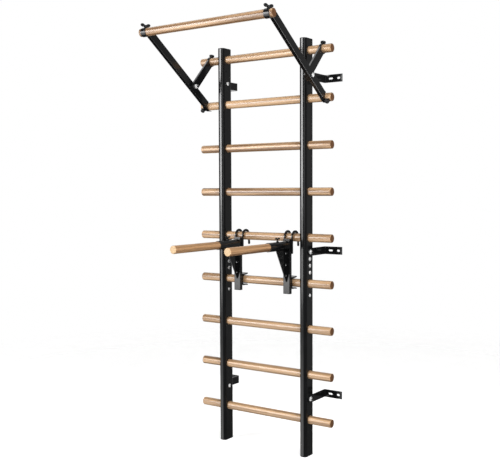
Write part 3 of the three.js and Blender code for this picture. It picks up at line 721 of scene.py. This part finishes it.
def knob(reach, neck, cap_r, cap_h, node_name, tip, way):
    """round knob with a fluted rim on a threaded stud"""
    n0, flutes, n = reach + neck, 16, 16 * 8
    rows = [(0, reach, 0), (6, reach, 0), (6.4, n0, 0), (cap_r * 0.66, n0 + 0.3, 0), (cap_r * 0.84, n0 + cap_h * 0.08, 0.3)]
    rows += [(cap_r * (0.93 + 0.07 * math.sin(math.radians(k))), n0 + cap_h * (0.16 + 0.14 * (1 - math.cos(math.radians(k)))), 0.5 + k / 180) for k in (0, 30, 60, 90)]
    rows += [(cap_r, n0 + cap_h * 0.42, 1), (cap_r, n0 + cap_h * 0.62, 1)]
    rows += [(cap_r * (0.82 + 0.18 * math.cos(math.radians(k))), n0 + cap_h * (0.68 + 0.24 * math.sin(math.radians(k))), 1 - k / 100) for k in (15, 40, 65, 90)]
    rows += [(cap_r * 0.62, n0 + cap_h * 0.955, 0), (cap_r * 0.50, n0 + cap_h * 0.93, 0), (cap_r * 0.30, n0 + cap_h * 0.97, 0), (0, n0 + cap_h, 0)]
    bm = bmesh.new()
    rings = []
    for r, h, depth in rows:
        if r < 1e-6:
            rings.append([bm.verts.new((0, 0, h))])
            continue
        ring = []
        for i in range(n):
            a = 2 * math.pi * i / n
            k = r - depth * 0.75 * max(0.0, math.cos(flutes * a)) ** 1.5
            ring.append(bm.verts.new((k * math.cos(a), k * math.sin(a), h)))
        rings.append(ring)
    for a, b in zip(rings, rings[1:]):
        for i in range(n):
            j = (i + 1) % n
            if len(a) == 1:
                bm.faces.new((a[0], b[i], b[j]))
            elif len(b) == 1:
                bm.faces.new((a[i], b[0], a[j]))
            else:
                bm.faces.new((a[i], b[i], b[j], a[j]))
    bmesh.ops.recalc_face_normals(bm, faces=bm.faces)
    stud = threaded(4.0, 0.0, reach + 1.5)
    for f in stud.faces:
        f.material_index = 1
    return set_screw(gather(bm, stud), node_name, tip, way, 0)


s15, c15, s45 = math.sin(math.radians(15)), math.cos(math.radians(15)), math.sin(math.radians(45))
for side, s in (("right", 1), ("left", -1)):
    wing_screw(3.2, 54, 18, 8, 8, side + "_bar_wing_screw", (s * COLLAR_X, COLLAR_Y, COLLAR_Z + 21), (0, 0, 1), 74)
    knob(5.4, 1.2, 13.5, 10.5, side + "_strut_knob", (s * STRUT_X, AXIS_Y + s15 * 22, RUNG_Z[0] + c15 * 22), (0, s15, c15))
    knob(4.6, 1.2, 11.5, 11, side + "_arm_knob", (s * (ARM_X + KNOB_OUT), AXIS_Y - s45 * 22, RUNG_Z[1] - s45 * 22), (0, -s45, -s45))
    wing_screw(12.5, 32, 11, 6, 5.2, side + "_dip_wing_screw", (DIP_UNITS[side][0], -281, 1091), (0, 0, 1), 80)


# ------------------------------------------------------------------ dip units
def dip_bracket():
    hang, rest = RUNG_Z[4], RUNG_Z[5]
    post = prism(round_rect(0, -189, 40, 20, 2.6, 4), 828, 1104, "Z", 0.7, 2)
    hollow = prism(round_rect(0, -189, 36, 16, 1.0, 3), 820, 1100, "Z")
    plate = ([(-186, 1032), (-185.4, 1029.6), (-183, 1028), (-176, 1028), (-173.4, 1029.6), (-172.7, 1032)]
             + arc(AXIS_Y, hang, 22.7, 180, 0, 36) + [(-127.6, 1081), (-127.4, 1075)] + arc(-119.8, 1071, 7.7, 180, 360, 20) + [(-112.6, 1075), (-114.1, 1083)] + arc(AXIS_Y, hang, 36, 0, 180, 44))
    plates = [prism(plate, 20 - 0.3, 24.5, "X", 0.7, 2), prism(plate, -24.5, -20 + 0.3, "X", 0.7, 2)]
    socket = lathe([(0, -370), (22.2, -370), (23, -369.2), (23, -198.5), (0, -198.5)], 64, "Y", (0, 0, 1070))
    gusset = prism([(-198.3, 1049), (-290, 1049), (-292, 1047.6), (-292, 1044), (-203, 886), (-198.3, 886)], -2.25, 2.25, "X", 0.5, 2)

    def finger(k):
        inner = [(-173.3, rest), (-173.3, rest + k * 15)] + [(-173.3 + 8 - 8 * math.cos(math.radians(a)), rest + k * (15 + 8 * math.sin(math.radians(a)))) for a in range(15, 91, 15)]
        inner += [(-150, rest + k * 23.3), (-142, rest + k * 24.4), (-129.5, rest + k * 27.6)]
        outer = [(-130.6, rest + k * 33.5), (-143, rest + k * 31.2), (-151, rest + k * 30.6), (-166, rest + k * 31.0)]
        outer += [(-167.0 - 12.4 * math.sin(math.radians(a)), rest + k * (18.6 + 12.4 * math.cos(math.radians(a)))) for a in range(15, 91, 15)] + [(-179.4, rest + k * 14), (-179.4, rest)]
        return prism(inner + outer, -20, 20, "X", 0.6, 2)

    saddle = join(finger(1), finger(-1))
    boss = prism(circle(0, -281, 7.5, 32), 1090.6, 1096, "Z", 0.6, 2)
    bm = join(cut(post, hollow), *plates, socket, gusset, saddle, boss)
    bm = cut(bm, prism(circle(0, 1070, 20.3, 64), -375, -199.6, "Y"), prism(circle(0, -281, 4.7, 20), 1075, 1110, "Z"),
             gather(*[prism([(y + 0.62 * (a - y), z + 1.1 * (b - z)) for a, b in circle(y, z, r, 28)], -6, 6, "X") for y, z, r in ((-207, 1031, 6), (-207, 973, 6), (-206, 919, 5))]))
    beads = [bead([(23.2 * math.cos(math.radians(a)), -199.2, 1070 + 23.2 * math.sin(math.radians(a))) for a in range(-20, 201, 5)], 1.6)]
    for x in (-2.6, 2.6):
        beads += [bead([(x, -199.1, a), (x, -199.1, (a + b) / 2), (x, -199.1, b)], 1.3) for a, b in ((1018, 988), (957, 930), (906, 889))]
        beads.append(bead([(x, y, 1047.2) for y in (-201, -230, -260, -289)], 1.3))
    for x in (-20.3, 20.3):
        beads.append(bead([(x, -186.2, z) for z in (1033, 1044, 1055)], 1.1))
        beads.append(bead([(x, -186.2, z) for z in (1090, 1096, 1102)], 1.1))
    return gather(bm, *beads)


def post_cap():
    lid = prism(round_rect(0, -189, 40, 20, 2.6, 4), 824.7, 827.7, "Z", 0.9, 3)
    return join(lid, prism(round_rect(0, -189, 35.4, 15.4, 1.0, 3), 827, 840, "Z"))


for side, (x, out) in DIP_UNITS.items():
    at = Matrix.Translation((x, 0, 0))
    finish_piece(move(dip_bracket(), at), side + "_dip_bracket", [PAINT], "black_paint")
    finish_piece(move(post_cap(), at), side + "_dip_post_cap", [PLASTIC], "black_plastic")
    wooden(move(dowel(20.0, 495.0), Matrix.Translation((x, -452.5 - out, 1070)) @ Matrix.Rotation(math.pi / 2, 4, "X")),
           side + "_dip_handle", "Y", WOOD_Y, WOOD_Y_END_PAINTED_LIGHT)

# the splice sleeves stay as they are, inside the uprights
for side in ("left", "right"):
    ob = frame["nodes"][side + "_splice_sleeve"]
    ob.data.materials.clear()
    ob.data.materials.append(PAINT)

# ------------------------------------------------------------------ stage
# a pale disc that fades into the white surroundings towards its rim
floor_bm = lathe([(0, 0.0), (6.0, 0.0), (6.0, -0.01), (0, -0.01)], 96)
floor = as_object(floor_bm, "floor")
fm, fnt, fb = material("pale_floor")
fb.inputs["Base Color"].default_value = (0.80, 0.80, 0.795, 1)
fb.inputs["Roughness"].default_value = 0.9
fb.inputs["Specular IOR Level"].default_value = 0.1
fb.inputs["Emission Color"].default_value = (1, 1, 1, 1)
fb.inputs["Emission Strength"].default_value = 0.62
f_out = fnt.nodes["Material Output"]
f_len = node(fnt, "ShaderNodeVectorMath", operation="LENGTH")
fnt.links.new(coords(fnt, (1, 1, 1)), f_len.inputs[0])
f_clear = node(fnt, "ShaderNodeBsdfTransparent")
f_mix = node(fnt, "ShaderNodeMixShader")
fnt.links.new(ramp(fnt, node_scale(fnt, f_len.outputs["Value"], 1 / 6.0), [(0.12, 0.0), (0.62, 1.0)]), f_mix.inputs["Fac"])
f_dim = node(fnt, "ShaderNodeBsdfDiffuse")
f_dim.inputs["Color"].default_value = (0.40, 0.40, 0.395, 1)
f_path = node(fnt, "ShaderNodeLightPath")
f_seen = node(fnt, "ShaderNodeMixShader")
fnt.links.new(f_path.outputs["Is Camera Ray"], f_seen.inputs["Fac"])
fnt.links.new(f_dim.outputs["BSDF"], f_seen.inputs[1])
fnt.links.new(fb.outputs["BSDF"], f_seen.inputs[2])
fnt.links.new(f_seen.outputs["Shader"], f_mix.inputs[1])
fnt.links.new(f_clear.outputs["BSDF"], f_mix.inputs[2])
fnt.links.new(f_mix.outputs["Shader"], f_out.inputs["Surface"])
floor.data.materials.append(fm)
floor.visible_glossy = False

world = bpy.data.worlds.new("studio")
scene.world = world
world.use_nodes = True
wn = world.node_tree
wn.nodes.clear()
w_out = wn.nodes.new("ShaderNodeOutputWorld")
w_seen = wn.nodes.new("ShaderNodeBackground")
w_seen.inputs["Color"].default_value = (1, 1, 1, 1)
w_seen.inputs["Strength"].default_value = 1.0
w_light = wn.nodes.new("ShaderNodeBackground")
w_light.inputs["Color"].default_value = (1, 1, 1, 1)
w_tc = wn.nodes.new("ShaderNodeTexCoord")
w_xyz = wn.nodes.new("ShaderNodeSeparateXYZ")
wn.links.new(w_tc.outputs["Generated"], w_xyz.inputs["Vector"])


def w_step(value, f0, f1, t0, t1):
    n = wn.nodes.new("ShaderNodeMapRange")
    n.interpolation_type = "SMOOTHSTEP"
    for key, v in (("From Min", f0), ("From Max", f1), ("To Min", t0), ("To Max", t1)):
        n.inputs[key].default_value = v
    wn.links.new(value, n.inputs["Value"])
    return n.outputs["Result"]


def w_math(operation, a, b):
    n = wn.nodes.new("ShaderNodeMath")
    n.operation = operation
    wn.links.new(a, n.inputs[0])
    wn.links.new(b, n.inputs[1])
    return n.outputs[0]


# around the object: dim in front, lighter behind and most to the left; below it: bright to the left front and to the right, dark underneath
w_round = w_step(w_xyz.outputs["Y"], -0.1, 0.7, 0.13, 0.23)
w_upper = w_step(w_xyz.outputs["Z"], -0.40, -0.15, 0.15, 1.0)
w_front = w_math("MULTIPLY", w_step(w_xyz.outputs["Z"], -0.30, -0.12, 1.0, 0.0),
                 w_math("MULTIPLY", w_step(w_xyz.outputs["Y"], -0.55, -0.05, 2.2, 0.0), w_step(w_xyz.outputs["X"], -0.40, -0.15, 1.0, 0.0)))
w_right = w_math("MULTIPLY", w_step(w_xyz.outputs["Z"], -0.60, -0.30, 1.0, 0.0), w_step(w_xyz.outputs["X"], 0.25, 0.55, 0.0, 1.3))
w_back = w_math("MULTIPLY", w_step(w_xyz.outputs["X"], -0.45, -0.20, 1.0, 0.0), w_step(w_xyz.outputs["Y"], 0.40, 0.75, 0.0, 0.55))
w_sum = w_math("ADD", w_math("ADD", w_math("MULTIPLY", w_round, w_upper), w_math("MAXIMUM", w_front, w_right)), w_math("MULTIPLY", w_back, w_upper))
wn.links.new(w_sum, w_light.inputs["Strength"])
w_path = wn.nodes.new("ShaderNodeLightPath")
w_mix = wn.nodes.new("ShaderNodeMixShader")
wn.links.new(w_path.outputs["Is Camera Ray"], w_mix.inputs["Fac"])
wn.links.new(w_light.outputs["Background"], w_mix.inputs[1])
wn.links.new(w_seen.outputs["Background"], w_mix.inputs[2])
wn.links.new(w_mix.outputs["Shader"], w_out.inputs["Surface"])


def area(name, at, target, size, power):
    li = bpy.data.lights.new(name, "AREA")
    li.shape = "RECTANGLE"
    li.size, li.size_y = size
    li.energy = power
    ob = bpy.data.objects.new(name, li)
    ob.location = at
    ob.rotation_euler = (Vector(target) - Vector(at)).to_track_quat("-Z", "Y").to_euler()
    scene.collection.objects.link(ob)
    return ob


area("key_softbox", (-2.75, -4.35, 2.35), (0, -0.2, 1.7), (1.4, 2.3), 135)
area("key_lower", (-2.75, -4.35, 0.65), (0, -0.2, 1.1), (1.4, 1.1), 22)
area("right_softbox", (3.4, -2.4, 5.6), (0, -0.2, 1.0), (3.2, 3.2), 120)
area("left_top_strip", (-1.85, 0.25, 4.65), (0, -0.2, 1.95), (0.7, 1.9), 9)
area("front_fill", (2.6, -4.6, 2.2), (0, -0.2, 1.2), (1.2, 2.6), 20)
area("soft_front", (-0.4, -5.4, 0.9), (0, -0.2, 1.1), (3.0, 2.0), 120).visible_glossy = False
area("soft_right", (5.0, -2.2, 2.6), (0, -0.4, 1.2), (2.6, 2.6), 195).visible_glossy = False
glint = area("low_glint", (1.9, 0.1, 0.15), (0.5, -0.4, 2.0), (0.9, 0.9), 0.7)
glint.visible_diffuse = False
glint.data.spread = math.radians(24)

# ------------------------------------------------------------------ camera
yaw, pitch, roll = math.radians(34.69), math.radians(-3.0006), math.radians(-0.2595)
fw = Vector((-math.sin(yaw), math.cos(yaw), 0))
rt = Vector((math.cos(yaw), math.sin(yaw), 0))
up = Vector((0, 0, 1))
fw2 = fw * math.cos(pitch) + up * math.sin(pitch)
up2 = up * math.cos(pitch) - fw * math.sin(pitch)
rt3 = rt * math.cos(roll) + up2 * math.sin(roll)
up3 = up2 * math.cos(roll) - rt * math.sin(roll)
cam_data = bpy.data.cameras.new("camera")
cam_data.sensor_fit = "HORIZONTAL"
cam_data.sensor_width = 36.0
cam_data.lens = 798.73 / 500 * 36.0
cam = bpy.data.objects.new("camera", cam_data)
cam.matrix_world = Matrix(((rt3.x, up3.x, -fw2.x, 2.3002), (rt3.y, up3.y, -fw2.y, -3.6062), (rt3.z, up3.z, -fw2.z, 1.3502), (0, 0, 0, 1)))
scene.collection.objects.link(cam)
scene.camera = cam
scene.view_settings.view_transform = "Standard"
